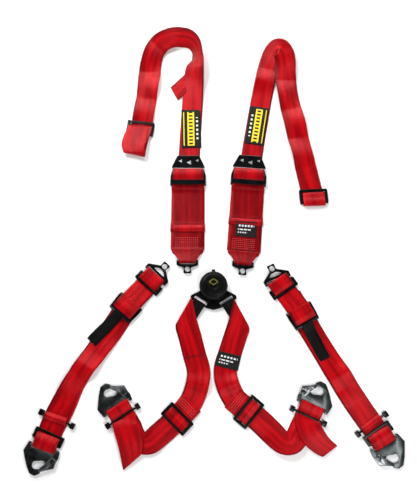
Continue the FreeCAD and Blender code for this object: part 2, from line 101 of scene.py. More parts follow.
class Nodes:
    """A small helper round one material's node tree."""

    def __init__(self, name):
        self.material = bpy.data.materials.new(name)
        self.material.use_nodes = True
        self.tree = self.material.node_tree
        self.shader = self.tree.nodes["Principled BSDF"]

    def add(self, kind, **settings):
        """A new node with some of its properties set."""
        node = self.tree.nodes.new(kind)
        for name, value in settings.items():
            setattr(node, name, value)
        return node

    def link(self, source, target):
        """Joins an output to an input."""
        self.tree.links.new(source, target)

    def put(self, **values):
        """Sets inputs of the Principled shader, with underscores for the spaces in their names."""
        for name, value in values.items():
            self.shader.inputs[name.replace("_", " ")].default_value = value

    def math(self, operation, *values):
        """The output of a Math node; each value is a number or another node's output."""
        node = self.add("ShaderNodeMath", operation=operation)
        for socket, value in zip(node.inputs, values):
            if isinstance(value, (int, float)):
                socket.default_value = value
            else:
                self.link(value, socket)
        return node.outputs[0]

    def ramp(self, factor, stops):
        """The colour of a ramp with stops (position, colour)."""
        node = self.add("ShaderNodeValToRGB")
        elements = node.color_ramp.elements
        while len(elements) < len(stops):
            elements.new(0.5)
        for element, (position, colour) in zip(elements, stops):
            element.position = position
            element.color = (*colour, 1.0)
        self.link(factor, node.inputs["Fac"])
        return node.outputs["Color"]

    def noise(self, vector, scale, detail=3.0, rough=0.5):
        """The grey value of a noise texture."""
        node = self.add("ShaderNodeTexNoise")
        node.inputs["Scale"].default_value = scale
        node.inputs["Detail"].default_value = detail
        node.inputs["Roughness"].default_value = rough
        self.link(vector, node.inputs["Vector"])
        return node.outputs["Fac"]

    def mix(self, factor, first, second):
        """A colour between two; each value is a number, a colour or another node's output."""
        node = self.add("ShaderNodeMix", data_type="RGBA")
        sockets = (node.inputs[0], node.inputs[6], node.inputs[7])
        for socket, value in zip(sockets, (factor, first, second)):
            if isinstance(value, (int, float)):
                socket.default_value = value
            elif isinstance(value, tuple):
                socket.default_value = (*value, 1.0)
            else:
                self.link(value, socket)
        return node.outputs[2]

    def bump(self, height, strength, distance):
        """Bends the shader's normal by a height."""
        node = self.add("ShaderNodeBump")
        node.inputs["Strength"].default_value = strength
        node.inputs["Distance"].default_value = distance
        self.link(height, node.inputs["Height"])
        self.link(node.outputs["Normal"], self.shader.inputs["Normal"])


def webbing_material(name, light, dark, edge, sheen):
    """Woven polyester webbing. UV x runs across the band from its centre and y along it, in metres."""
    n = Nodes(name)
    coords = n.add("ShaderNodeUVMap", uv_map="weave").outputs["UV"]
    split = n.add("ShaderNodeSeparateXYZ")
    n.link(coords, split.inputs[0])
    across, lengthwise = split.outputs[0], split.outputs[1]
    # ribs run lengthwise; the pick lines slant across them as in a twill
    rib = n.math("SINE", n.math("MULTIPLY", across, 2 * math.pi / RIB_PITCH))
    pick = n.math("SINE", n.math("ADD", n.math("MULTIPLY", lengthwise, 2 * math.pi / PICK_PITCH),
                                 n.math("MULTIPLY", across, 2 * math.pi / PICK_SLANT)))
    weave = n.math("ADD", n.math("MULTIPLY", rib, 0.55), n.math("MULTIPLY", pick, 0.45))
    unit = n.math("MULTIPLY_ADD", weave, 0.5, 0.5)
    # broad lengthwise bands where the warp is tighter
    band = n.math("SINE", n.math("MULTIPLY", across, 2 * math.pi / WARP_PITCH))
    band_unit = n.math("MULTIPLY_ADD", band, 0.5, 0.5)
    stretched = n.add("ShaderNodeMapping")
    stretched.inputs["Scale"].default_value = (1.0, 0.12, 1.0)
    n.link(coords, stretched.inputs["Vector"])
    streak = n.noise(stretched.outputs[0], 420.0, 4.0, 0.6)
    blotch = n.noise(coords, 16.0, 2.0, 0.5)
    base = n.ramp(unit, [(0.0, dark), (1.0, light)])
    # painted shade: soft dark lengthwise streaks where the band seems bent and creased, standing in for
    # the shade of its folds
    fold_shade_mapping = n.add("ShaderNodeMapping")
    fold_shade_mapping.inputs["Scale"].default_value = (4.2, 0.5, 1.0)
    n.link(coords, fold_shade_mapping.inputs["Vector"])
    fold_shade_noise = n.noise(fold_shade_mapping.outputs[0], 16.0, 2.0, 0.5)
    painted_fold_shade = n.ramp(fold_shade_noise, [(0.38, (0.0, 0.0, 0.0)), (0.62, (1.0, 1.0, 1.0))])
    streaked = n.mix(n.math("MULTIPLY", streak, 0.3), base, dark)
    shaded = n.mix(n.math("MULTIPLY", painted_fold_shade, 0.6), streaked, edge)
    worn = n.mix(n.math("MULTIPLY", n.math("MULTIPLY", blotch, band_unit), 0.35), shaded, edge)
    n.link(worn, n.shader.inputs["Base Color"])
    n.link(n.math("MULTIPLY_ADD", streak, 0.2, 0.24), n.shader.inputs["Roughness"])
    coloured = light[0] > 0.1
    n.put(Sheen_Weight=sheen, Sheen_Roughness=0.4, Specular_IOR_Level=0.5 if coloured else 0.08)
    tint = (1.0, 0.16, 0.18, 1.0) if coloured else (0.5, 0.5, 0.5, 1.0)
    n.shader.inputs["Sheen Tint"].default_value = tint
    n.shader.inputs["Specular Tint"].default_value = tint
    height = n.math("ADD", weave, n.math("MULTIPLY", band, 0.5))
    n.bump(height, 0.4, 0.0002)
    return n.material


def metal_material(name, dark, light, metallic, rough, speck, coat=0.0):
    """Painted or plated metal: faint mottling, a fine texture and bright specks."""
    n = Nodes(name)
    coords = n.add("ShaderNodeTexCoord").outputs["Object"]
    broad = n.noise(coords, 45.0, 4.0, 0.6)
    fine = n.noise(coords, 1400.0, 3.0, 0.55)
    mottled = n.ramp(broad, [(0.3, dark), (0.72, light)])
    flecks = n.math("MULTIPLY", n.math("GREATER_THAN", fine, 0.66), speck)
    flecked = n.mix(flecks, mottled, (0.55, 0.56, 0.57))
    n.link(flecked, n.shader.inputs["Base Color"])
    n.link(n.math("MULTIPLY_ADD", broad, 0.25, rough), n.shader.inputs["Roughness"])
    n.put(Metallic=metallic, Coat_Weight=coat, Coat_Roughness=0.08)
    n.put(Specular_IOR_Level=0.5 if metallic else 0.12)
    n.bump(fine, 0.25, 0.00012)
    return n.material


def thread_material(name, dark, light):
    """Twisted polyester sewing thread."""
    n = Nodes(name)
    coords = n.add("ShaderNodeTexCoord").outputs["Object"]
    twist = n.noise(coords, 2600.0, 2.0, 0.5)
    n.link(n.ramp(twist, [(0.2, dark), (0.8, light)]), n.shader.inputs["Base Color"])
    n.put(Roughness=0.7, Specular_IOR_Level=0.2)
    n.bump(twist, 0.5, 0.0001)
    return n.material


def label_material(name, marks):
    """A black woven label. UV x and y run 0 to 1 over it; marks(n, x, y) lists (mask, colour)."""
    n = Nodes(name)
    coords = n.add("ShaderNodeUVMap", uv_map="weave").outputs["UV"]
    split = n.add("ShaderNodeSeparateXYZ")
    n.link(coords, split.inputs[0])
    x, y = split.outputs[0], split.outputs[1]
    grain = n.noise(coords, 160.0, 3.0, 0.6)
    colour = n.ramp(grain, [(0.25, (0.002, 0.002, 0.002)), (0.8, (0.007, 0.007, 0.008))])
    for mask, tint in marks(n, x, y):
        colour = n.mix(mask, colour, tint)
    n.link(colour, n.shader.inputs["Base Color"])
    n.put(Roughness=0.62, Specular_IOR_Level=0.2)
    n.bump(grain, 0.4, 0.0002)
    return n.material


def between(n, value, low, high):
    """A mask that is 1 where value lies between two limits."""
    return n.math("MULTIPLY", n.math("GREATER_THAN", value, low), n.math("LESS_THAN", value, high))


def every(n, value, count, share):
    """A mask that repeats count times over 0 to 1 and is 1 for a share of each repeat."""
    return n.math("LESS_THAN", n.math("FRACT", n.math("MULTIPLY", value, float(count))), share)


def shoulder_marks(n, x, y):
    """A yellow field with black blocks, a yellow edge line and a row of pale ticks."""
    yellow = (0.80, 0.62, 0.02)
    inside = between(n, y, 0.06, 0.94)
    field = n.math("MULTIPLY", between(n, x, 0.30, 0.66), inside)
    repeats = n.math("MULTIPLY", every(n, y, 11, 0.5), inside)
    blocks = n.math("MULTIPLY", between(n, x, 0.38, 0.58), repeats)
    edge_line = n.math("MULTIPLY", between(n, x, 0.09, 0.14), inside)
    dashes = n.math("MULTIPLY", every(n, y, 9, 0.45), between(n, y, 0.22, 0.80))
    ticks = n.math("MULTIPLY", between(n, x, 0.76, 0.86), dashes)
    black = (0.012, 0.012, 0.013)
    pale = (0.75, 0.75, 0.75)
    return [(field, yellow), (blocks, black), (edge_line, yellow), (ticks, pale)]


def small_marks(n, x, y):
    """Three rows of white dashes, each shorter than the one above."""
    white = (0.72, 0.72, 0.72)
    rows = [(0.66, 0.78, 7, 0.6), (0.44, 0.52, 5, 0.8), (0.24, 0.32, 9, 0.55)]
    masks = []
    for row, (low, high, count, share) in enumerate(rows):
        span = between(n, x, 0.12, 0.88 - 0.16 * row)
        inside = between(n, y, low, high)
        dashes = n.math("MULTIPLY", every(n, x, count, share), span)
        masks.append((n.math("MULTIPLY", inside, dashes), white))
    return masks


# light, dark and edge colours of each webbing, then its sheen; the edge colour serves as the painted
# shade in the folds and as the colour of the wear
RED = webbing_material("red_webbing", (0.72, 0.004, 0.010), (0.28, 0.000, 0.002),
                       (0.06, 0.000, 0.001), 0.01)
# painted shade: the wide straps get a darker copy of the red webbing, so they look less lit than the slim
# straps
RED_WIDE_SHADED = webbing_material("red_webbing_wide_shaded", (0.36, 0.002, 0.005), (0.18, 0.000, 0.002),
                            (0.06, 0.000, 0.001), 0.01)
RED_FRINGE = webbing_material("red_webbing_edge", (0.22, 0.002, 0.006), (0.12, 0.000, 0.003),
                              (0.06, 0.0, 0.001), 0.02)
BLACK_WEB = webbing_material("black_webbing", (0.012, 0.012, 0.013), (0.003, 0.003, 0.003),
                             (0.002, 0.002, 0.002), 0.02)
THREAD = thread_material("stitch_thread", (0.55, 0.05, 0.06), (0.80, 0.16, 0.16))
DARK_THREAD = thread_material("stitch_thread_dark", (0.05, 0.0, 0.002), (0.11, 0.002, 0.005))
# dark and light colours of each metal, then metallic, roughness, specks and coat
BLACK_STEEL = metal_material("black_steel", (0.0015, 0.0015, 0.002), (0.005, 0.005, 0.006),
                             0.0, 0.10, 0.004, 0.3)
SATIN_BLACK = metal_material("satin_black", (0.001, 0.001, 0.001), (0.004, 0.004, 0.004),
                             0.0, 0.22, 0.004, 0.1)
DARK_ZINC = metal_material("dark_zinc", (0.018, 0.021, 0.022), (0.085, 0.095, 0.095), 1.0, 0.22, 0.3)
GATE_ZINC = metal_material("gate_zinc", (0.06, 0.065, 0.07), (0.24, 0.25, 0.26), 1.0, 0.18, 0.25)
# a bright metal used only to paint highlights and glints on the cam plates
PAINTED_GLINT_METAL = metal_material("painted_glint_metal", (0.30, 0.31, 0.32), (0.60, 0.61, 0.62), 1.0, 0.26, 0.25)
PIN_STEEL = metal_material("pin_steel", (0.20, 0.20, 0.21), (0.42, 0.42, 0.43), 1.0, 0.22, 0.2)
BRASS_INK = metal_material("olive_ink", (0.16, 0.15, 0.02), (0.30, 0.28, 0.04), 0.0, 0.4, 0.0)
SHOULDER_LABEL = label_material("shoulder_label_weave", shoulder_marks)
SMALL_LABEL = label_material("small_label_weave", small_marks)

# -------------------------------------------------------------------- webbing


def smooth_path(points, step):
    """A Catmull-Rom line through points (x, y, z, twist, scale), sampled about every step millimetres."""
    rows = [tuple(point) + (0.0, 0.0, 1.0)[len(point) - 2:] for point in points]
    out = []
    for index in range(len(rows) - 1):
        before = rows[max(index - 1, 0)]
        first, second = rows[index], rows[index + 1]
        after = rows[min(index + 2, len(rows) - 1)]
        count = max(3, int(math.dist(first[:3], second[:3]) / step))
        for part in range(count):
            t = part / count
            weights = (-0.5 * t + t * t - 0.5 * t ** 3, 1 - 2.5 * t * t + 1.5 * t ** 3,
                       0.5 * t + 2 * t * t - 1.5 * t ** 3, -0.5 * t * t + 0.5 * t ** 3)
            out.append([sum(w * row[axis] for w, row in zip(weights, (before, first, second, after)))
                        for axis in range(5)])
    out.append(list(rows[-1]))
    return out


def swayed(path, width, rise, roll, wave, start, stop):
    """The path with soft waves between start and stop along it: rise in millimetres, roll in degrees."""
    travelled = 0.0
    out = [path[0]]
    for before, row in zip(path, path[1:]):
        travelled += math.dist(before[:3], row[:3])
        share = min(1.0, max(0.0, (travelled - start) / FADE), max(0.0, (stop - travelled) / FADE))
        if not start < travelled < stop:
            share = 0.0
        phase = 2 * math.pi * (travelled - start) / wave
        turn = roll * share * math.sin(phase * 0.63)
        lift = rise * share * (0.5 - 0.5 * math.cos(phase))
        lift += width / 2 * abs(math.sin(math.radians(turn)))
        out.append([row[0], row[1], row[2] + lift, row[3] + turn, row[4]])
    return out


def section(width):
    """The band's cross-section as (across, up) points, counter-clockwise, with pointed selvedges."""
    half, up = width / 2, THICK / 2
    steps = 12
    top = []
    for index in range(steps + 1):
        x = half - 2 * half * index / steps
        top.append((max(-half + SELVEDGE, min(half - SELVEDGE, x)), up))
    bottom = [(x, y - THICK) for x, y in reversed(top)]
    return [(half, 0.0)] + top + [(-half, 0.0)] + bottom


def ribbon(name, body, points, width=SLIM, material=RED, ripple=0.0, cut_ends=(0.0, 0.0), replaces=(),
           step=3.0, sway=None):
    """A band of webbing as one closed mesh along a smooth path, riding on a body.

    ripple lifts the edges, cut_ends shears the first and last ends, and sway is what swayed() takes."""
    path = smooth_path(points, step)
    if sway:
        path = swayed(path, width, *sway)
    total = sum(math.dist(one[:3], two[:3]) for one, two in zip(path, path[1:]))
    mesh = bmesh.new()
    uv = mesh.loops.layers.uv.new("weave")
    side = None
    rings = []
    shape = section(width)
    travelled = 0.0
    tags = {}
    phase = random.uniform(0, 6.28)
    for index, (x, y, z, twist, scale) in enumerate(path):
        here = Vector((x, y, z))
        ahead = Vector(path[min(index + 1, len(path) - 1)][:3])
        behind = Vector(path[max(index - 1, 0)][:3])
        tangent = (ahead - behind).normalized()
        if index:
            travelled += (here - Vector(path[index - 1][:3])).length
        level = tangent.cross(Vector((0, 0, 1)))
        if side is None:
            side = level
        if level.length > 0.6:
            side = side.lerp(level if side.dot(level) > 0 else -level, 0.4)
        side = (side - tangent * side.dot(tangent)).normalized()
        turned = Matrix.Rotation(math.radians(twist), 3, tangent) @ side
        normal = turned.cross(tangent).normalized()
        first_slant = cut_ends[0] * max(0.0, 1 - travelled / width)
        slant = first_slant + cut_ends[1] * max(0.0, 1 - (total - travelled) / width)
        ring = []
        for across_mm, up_mm in shape:
            swell = ripple * (0.5 + 0.5 * math.sin(travelled / 21.0 + phase))
            wave = swell * (across_mm / (width / 2)) ** 2
            spot = here + turned * across_mm * scale + normal * (up_mm + wave)
            spot += tangent * slant * across_mm
            vertex = mesh.verts.new(place(*spot))
            tags[vertex] = (across_mm * MM, travelled * MM)
            ring.append(vertex)
        rings.append(ring)
    count = len(shape)
    faces = []
    for first, second in zip(rings, rings[1:]):
        for index in range(count):
            after = (index + 1) % count
            faces.append(mesh.faces.new((first[index], first[after], second[after], second[index])))
    faces.append(mesh.faces.new(list(reversed(rings[0]))))
    faces.append(mesh.faces.new(rings[-1]))
    for face in faces:
        face.smooth = True
        for loop in face.loops:
            loop[uv].uv = tags[loop.vert]
    edge_columns = {0, 1, count - 1, (count - 2) // 2 + 1, (count - 2) // 2}
    for number, face in enumerate(faces[:-2]):
        if number % count in edge_columns:
            face.material_index = 1
    for face in faces[-2:]:
        face.smooth = False
        face.material_index = 1
    bmesh.ops.recalc_face_normals(mesh, faces=mesh.faces[:])
    fringe = RED_FRINGE if material is RED else material
    piece = finish_mesh(name, mesh, [material, fringe], body)
    if replaces:
        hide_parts(*replaces)
    return piece


def finish_mesh(name, mesh, materials, body):
    """Turns a finished mesh into a piece that rides on a body."""
    data = bpy.data.meshes.new(name)
    mesh.to_mesh(data)
    mesh.free()
    piece = bpy.data.objects.new(name, data)
    bpy.context.scene.collection.objects.link(piece)
    for material in materials:
        data.materials.append(material)
    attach(piece, body)
    return piece


def around(centre, direction, start, stop, radius=LOOP, z=BAR_Z):
    """Points of a turn round a bar, in the upright plane along direction; 0 is beneath it, 180 above."""
    points = []
    for index in range(TURN_POINTS):
        angle = math.radians(start + (stop - start) * index / (TURN_POINTS - 1))
        spot = Vector((*centre, 0)) + direction * (radius * math.sin(angle))
        points.append((spot.x, spot.y, z - radius * math.cos(angle)))
    return points


def offset(point, direction, distance, z):
    """The layout point at a distance from another along a direction, at height z."""
    spot = Vector((point[0], point[1], 0)) + direction * distance
    return (spot.x, spot.y, z)


def stitch_rows(name, body, rows, material=THREAD, dash=3.0, gap=1.4):
    """Rows of thread dashes on webbing; each row is ((x, y), (x, y), z) in layout millimetres."""
    mesh = bmesh.new()
    for start, stop, z in rows:
        first, last = Vector((*start, z)), Vector((*stop, z))
        run = last - first
        count = max(1, int(run.length / (dash + gap)))
        along = run.normalized()
        side = along.cross(Vector((0, 0, 1)))
        for index in range(count):
            begin = first + along * (index * (dash + gap))
            rings = []
            for share, swell in ((0.0, 0.35), (0.25, 1.0), (0.75, 1.0), (1.0, 0.35)):
                centre = begin + along * (dash * share)
                ring = []
                for corner in range(6):
                    angle = corner * math.pi / 3
                    spread = side * math.cos(angle) + Vector((0, 0, 1)) * math.sin(angle) * 0.7
                    ring.append(mesh.verts.new(place(*(centre + spread * THREAD_RADIUS * swell))))
                rings.append(ring)
            for one, two in zip(rings, rings[1:]):
                for corner in range(6):
                    after = (corner + 1) % 6
                    face = mesh.faces.new((one[corner], one[after], two[after], two[corner]))
                    face.smooth = True
            mesh.faces.new(list(reversed(rings[0])))
            mesh.faces.new(rings[-1])
    bmesh.ops.recalc_face_normals(mesh, faces=mesh.faces[:])
    return finish_mesh(name, mesh, [material], body)


def cross_rows(centre, turn, half, offsets, z):
    """Stitch rows across a band: centre and turn give its frame, offsets are distances along it."""
    forward = heading(turn)
    side = Vector((forward.y, -forward.x, 0))
    rows = []
    for distance in offsets:
        middle = Vector((*centre, 0)) + forward * distance
        first, last = middle - side * half, middle + side * half
        rows.append(((first.x, first.y), (last.x, last.y), z))
    return rows


def label(name, node, body, material, centre, turn, length, width, z, lift=0.0):
    """A woven label with a folded hem, lying on the webbing: a thin rounded pad with its own UVs.

    Its far edge bends up by lift millimetres."""
    forward = heading(turn)
    side = Vector((forward.y, -forward.x, 0))
    mesh = bmesh.new()
    uv = mesh.loops.layers.uv.new("weave")
    columns, lines = 10, 20
    layers = []
    for level in (0.0, 0.75):
        grid = []
        for row in range(lines + 1):
            line = []
            for column in range(columns + 1):
                u, v = column / columns, row / lines
                inset = 0.5 if level else 0.0
                rim = min(u, 1 - u) * length > 2.2 and min(v, 1 - v) * width > 2.2
                spot = Vector((*centre, 0)) + side * ((u - 0.5) * (length - inset))
                spot += forward * ((v - 0.5) * (width - inset))
                rise = z + level + lift * v ** 3
                if level and rim:
                    rise += 0.12 * math.sin(9 * v + 3 * u)
                vertex = mesh.verts.new(place(spot.x, spot.y, rise))
                line.append((vertex, (u, v)))
            grid.append(line)
        layers.append(grid)
    base, top = layers
    spots = {vertex: spot for grid in layers for line in grid for vertex, spot in line}

    def quad(*items):
        """One face of the label, with the UVs of its corners."""
        face = mesh.faces.new([item[0] for item in items])
        face.smooth = True
        for loop in face.loops:
            loop[uv].uv = spots[loop.vert]

    for row in range(lines):
        for column in range(columns):
            after = column + 1
            quad(top[row][column], top[row][after], top[row + 1][after], top[row + 1][column])
            quad(base[row][column], base[row + 1][column], base[row + 1][after], base[row][after])
    for column in range(columns):
        quad(base[0][column], base[0][column + 1], top[0][column + 1], top[0][column])
        quad(base[lines][column + 1], base[lines][column], top[lines][column], top[lines][column + 1])
    for row in range(lines):
        quad(base[row + 1][0], base[row][0], top[row][0], top[row + 1][0])
        quad(base[row][columns], base[row + 1][columns], top[row + 1][columns], top[row][columns])
    bmesh.ops.recalc_face_normals(mesh, faces=mesh.faces[:])
    piece = finish_mesh(name, mesh, [material], body)
    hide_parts(node)
    return piece


# ------------------------------------------------------------------- hardware


def dressed(node, material):
    """A CAD piece with its sharp edges broken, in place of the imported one."""
    source = frame["nodes"][node]
    data = source.data.copy()
    piece = bpy.data.objects.new(node + "_finished", data)
    bpy.context.scene.collection.objects.link(piece)
    mesh = bmesh.new()
    mesh.from_mesh(data)
    bmesh.ops.remove_doubles(mesh, verts=mesh.verts[:], dist=1e-6)
    bmesh.ops.dissolve_limit(mesh, angle_limit=math.radians(1.0), verts=mesh.verts[:],
                             edges=mesh.edges[:])
    mesh.to_mesh(data)
    mesh.free()
    data.materials.clear()
    data.materials.append(material)
    for polygon in data.polygons:
        polygon.use_smooth = True
        polygon.material_index = 0
    edge = piece.modifiers.new("edge", "BEVEL")
    edge.width = EDGE * MM
    edge.segments = 2
    edge.limit_method = "ANGLE"
    edge.angle_limit = math.radians(38)
    edge.harden_normals = True
    bodies = frame["record"]["behaviour"]["bodies"]
    body = next(name for name, members in bodies.items() if node in members)
    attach(piece, body)
    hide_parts(node)


def slab(name, body, material, origin, turn, outline, low, high, bevel):
    """A flat plate with rounded edges: an outline in a turned frame's millimetres, from low to high."""
    forward = heading(turn)
    side = Vector((forward.y, -forward.x, 0))
    mesh = bmesh.new()
    base, top = [], []
    for ring, z in ((base, low), (top, high)):
        for x, y in outline:
            ring.append(mesh.verts.new(place(*(Vector((*origin, z)) + side * x + forward * y))))
    mesh.faces.new(list(reversed(base)))
    mesh.faces.new(top)
    for index in range(len(outline)):
        after = (index + 1) % len(outline)
        mesh.faces.new((base[index], base[after], top[after], top[index]))
    bmesh.ops.recalc_face_normals(mesh, faces=mesh.faces[:])
    piece = finish_mesh(name, mesh, [material], body)
    edge = piece.modifiers.new("edge", "BEVEL")
    edge.width = bevel * MM
    edge.segments = 3
    return piece


# ---------------------------------------------------------------------- belts


def shifted(origin, turn, x, y, z, *rest):
    """A point of a turned frame as a layout point."""
    forward = heading(turn)
    spot = Vector((*origin, 0)) + Vector((forward.y, -forward.x, 0)) * x + forward * y
    return (spot.x, spot.y, z, *rest)


def looped(origin, turn, reach, near_end):
    """A wide strap narrowed round a bar at 0, full from WIDE_FROM, and round a bar at reach.

    It starts at near_end, on top, and ends on top just past the far bar."""
    near_taper = 1 - NEAR_SCALE
    forward = heading(turn)
    far = shifted(origin, turn, 0, reach, 0)[:2]
    points = [shifted(origin, turn, 0, near_end, 2.1)]
    points.append(shifted(origin, turn, 0, WIDE_FROM + 6.0, 2.2))
    for share, z in ((1.0, 2.5), (0.68, 3.6), (0.36, 5.6)):
        scale = NEAR_SCALE + near_taper * share
        points.append(shifted(origin, turn, 0, WIDE_FROM * share, z, 0.0, scale))
    points += [(*point, 0.0, NEAR_SCALE) for point in around(origin, -forward, 180, 0)]
    points.append(shifted(origin, turn, 0, WIDE_FROM * 0.5, 0.75, 0.0, NEAR_SCALE + near_taper * 0.45))
    points.append(shifted(origin, turn, 0, WIDE_FROM, 0.75, 0.0, 0.97))
    points.append(shifted(origin, turn, 0, reach / 2, 0.75))
    points.append(shifted(origin, turn, 0, reach - 18.0, 0.75))
    points += [(*point, 0.0, FAR_SCALE) for point in around(far, forward, 0, 180)]
    points.append(shifted(origin, turn, 0, reach - 9.0, 5.8))
    points.append(shifted(origin, turn, 0, reach - 20.0, 2.6))
    return points


def wide_strap(side, origin, turn, reach, fold):
    """A shoulder belt's wide strap: narrow at the tongue, folded at the splice, then looped."""
    low, high = fold
    body = "shoulder_" + side
    points = looped(origin, turn, reach, high - 2.0)
    points.append(shifted(origin, turn, 0, high + 14.0, 2.3))
    points.append(shifted(origin, turn, 0, high, 3.3, 0.0, 1.02))
    points.append(shifted(origin, turn, 0, low + 3.0, 3.8, 0.0, 1.03))
    points.append(shifted(origin, turn, 0, low, 3.3, 0.0, 1.03))
    ribbon("webbing_wide_" + side, body, points, WIDE, RED_WIDE_SHADED,
           replaces=["shoulder_strap_wide_" + side], ripple=0.4)
    rows = cross_rows(origin, turn, 28, (34, 38.5, 43, 47.5, 52, 56), 2.95)
    stitch_rows("stitches_wide_" + side, body, rows)
    dark = cross_rows(origin, turn, 27, (low - 1.8, low - 3.2), 3.0)
    dark += cross_rows(origin, turn, 33, (high + 1.0,), 4.0)
    stitch_rows("stitches_fold_" + side, body, dark, DARK_THREAD)
    roll = []
    for y, z in ((low + 16, 3.6), (low + 9, 5.6), (low + 3, 5.4), (low, 3.6)):
        roll.append(shifted(origin, turn, 0, y, z, 0.0, 1.03))
    ribbon("webbing_roll_" + side, body, roll, WIDE,
           step=1.5)


def adjuster_dress(side, origin, turn):
    """What shows on a shoulder adjuster: the band over the lock bar, the cam plate with painted
    highlights, and the front bar.
    """
    body = "adjuster_shoulder_" + side
    band = [shifted(origin, turn, 0, y, z) for y, z in
            ((7, 7.0), (10, 9.0), (17, 11.6), (25, 12.6), (33, 11.4), (38, 8.6), (40, 6.9))]
    ribbon("webbing_band_" + side, body, band, 71.0)
    cam = [(-37, 39), (37, 39), (38.5, 42), (27, 68), (24.5, 71), (-24.5, 71), (-27, 68), (-38.5, 42)]
    slab("cam_plate_" + side, body, BLACK_STEEL, origin, turn, cam, 5.9, 9.2, 1.1)
    # painted highlight: a strip of bright metal along the cam plate's lower edge stands in for the light
    # caught by its rolled rim
    ridge = [(-36, 37.6), (36, 37.6), (36, 39.6), (-36, 39.6)]
    slab("cam_edge_highlight_" + side, body, PAINTED_GLINT_METAL, origin, turn, ridge, 8.2, 9.0, 0.3)
    # painted glints: three small bright triangles on the cam plate stand in for reflections of the lights
    marks = ((-19, 57, 4.2), (1, 53, 5.0), (20, 58, 3.4))
    for number, (x, y, half) in enumerate(marks):
        painted_glint = [(x - half, y), (x + half, y - half), (x + half, y + half)]
        slab("cam_glint_%s_%d" % (side, number), body, PAINTED_GLINT_METAL, origin, turn, painted_glint, 9.0, 9.5, 0.15)
    front = [(-41, 2.5), (-39, -0.5), (-20, -2.4), (0, -3.0), (20, -2.4),
             (39, -0.5), (41, 2.5), (41, 9.5), (-41, 9.5)]
    slab("front_bar_" + side, body, BLACK_STEEL, origin, turn, front, 9.6, 12.2, 1.0)


def lap_upper(side, origin, joint):
    """A lap belt's short upper strap, looped at the tongue and the adjuster, over its keeper's bar."""
    span = Vector((joint[0] - origin[0], joint[1] - origin[1], 0))
    along = math.degrees(math.atan2(-span.x, span.y))
    keeper = 22.5
    forward = heading(along)
    points = [shifted(origin, along, 0, keeper + 4.5, 3.2), shifted(origin, along, 0, keeper + 3.0, 5.2),
              shifted(origin, along, 0, keeper - 2.0, 7.2), shifted(origin, along, 0, keeper - 9.0, 7.8),
              shifted(origin, along, 0, 7.0, 8.2)]
    points += around(origin, -forward, 180, 0)
    points.append(shifted(origin, along, 0, 14.0, 0.75))
    points.append(shifted(origin, along, 0, span.length - 14.0, 0.75))
    points += around(joint, forward, 0, 180)
    points.append(shifted(origin, along, 0, span.length - 9.0, 6.6))
    points.append(shifted(origin, along, 0, keeper + 22.0, 3.2))
    points.append(shifted(origin, along, 0, keeper + 12.5, 2.6))
    ribbon("webbing_lap_upper_" + side, "lap_" + side, points,
           replaces=["lap_strap_upper_" + side], step=2.0)


def lap_dress(side, origin, turn):
    """What shows on a lap adjuster: the strap laid over its frame and the black pull strap."""
    body = "adjuster_lap_" + side
    rises = ((-4, 9.1), (0, 9.6), (7, 9.8), (14, 10.6), (21, 10.4), (27, 8.4), (30, 6.8))
    band = [shifted(origin, turn, 0, y, z) for y, z in rises]
    ribbon("webbing_lap_band_" + side, body, band)
    pull = [shifted(origin, turn, x, y, z) for x, y, z in
            ((2, 34, 8.6), (2, 41, 6.2), (3, 52, 3.2), (4, 75, 2.6), (6, 98, 2.9), (7, 120, 2.5))]
    ribbon("webbing_pull_" + side, body, pull, 26.0, BLACK_WEB, replaces=["pull_strap_" + side])


def lap_lower(side, route, hook_turn, knobs_back, sway_stop):
    """A lap belt's lower strap: flat to the snap hook, round its bar and back over the slide."""
    hook = route[-1][:2]
    back = math.degrees(math.atan2(route[-2][0] - hook[0], hook[1] - route[-2][1]))
    inward = heading(hook_turn)
    points = list(route) + [offset(hook, inward, 10, 0.75)]
    points += around(offset(hook, inward, HOOK_BAR, 0)[:2], inward, 0, 180)
    points += [offset(hook, inward, 15, 9.2), offset(hook, inward, 8, 10.6), offset(hook, inward, 1, 9.4)]
    points += [offset(hook, inward, -5, 6.9), offset(hook, inward, -8.4, 3.8)]
    ribbon("webbing_lap_lower_" + side, "lower_lap_" + side, points, replaces=["lap_strap_lower_" + side],
           ripple=0.6, step=2.5, sway=(3.0, 8.0, 84.0, 158.0, sway_stop))
    ridge = [shifted(hook, back, 0, knobs_back + y, z) for y, z in
             ((-8, 1.9), (-4.5, 4.6), (0, 6.3), (4.5, 4.6), (8, 1.9))]
    ribbon("webbing_ridge_" + side, "lower_lap_" + side, ridge,
           step=1.5)


